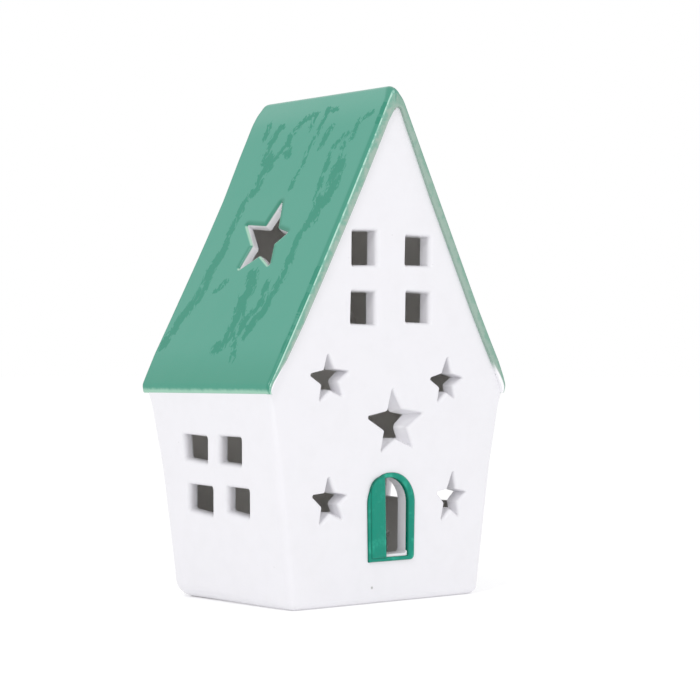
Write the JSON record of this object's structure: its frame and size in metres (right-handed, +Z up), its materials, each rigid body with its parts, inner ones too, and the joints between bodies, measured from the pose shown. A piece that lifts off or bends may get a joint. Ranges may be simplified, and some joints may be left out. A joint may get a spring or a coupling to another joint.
{
  "type": "tealight house",
  "caption": "Ceramic house with a steep green glazed roof, cut-out windows, stars and half-open arched door, lit from inside by a tealight pushed in at the rear",
  "frame": {"origin": "middle of the foot on the table, under the middle of the roof", "axes": "+Z up, the door gable looks along -Y, the slope with the star is on the -X side"},
  "size_m": [0.094, 0.06, 0.15],
  "materials": {
    "white_glaze": "satin white glaze",
    "green_glaze": "glossy green glaze with darker brush streaks",
    "door_paint": "glossy hand-painted green glaze",
    "cup_metal": "bright pressed foil",
    "candle_wax": "satin white wax",
    "wick_cotton": "waxed cotton cord",
    "sustainer_metal": "plain tinplate"
  },
  "bodies": {
    "house": {"floor_slab": "white_glaze", "front_wall": "white_glaze", "rear_wall": "white_glaze", "left_wall": "white_glaze", "right_wall": "white_glaze", "left_roof": "green_glaze", "right_roof": "green_glaze", "door_surround": "door_paint", "door_leaf": "door_paint"},
    "tealight": {"tealight_cup": "cup_metal", "tealight_wax": "candle_wax", "tealight_wick": "wick_cotton", "wick_sustainer": "sustainer_metal"}
  },
  "joints": [
    {"name": "tealight_out", "type": "slide", "parent": "house", "child": "tealight", "axis": [0, 1, 0], "range_m": [0, 0.058]}
  ]
}
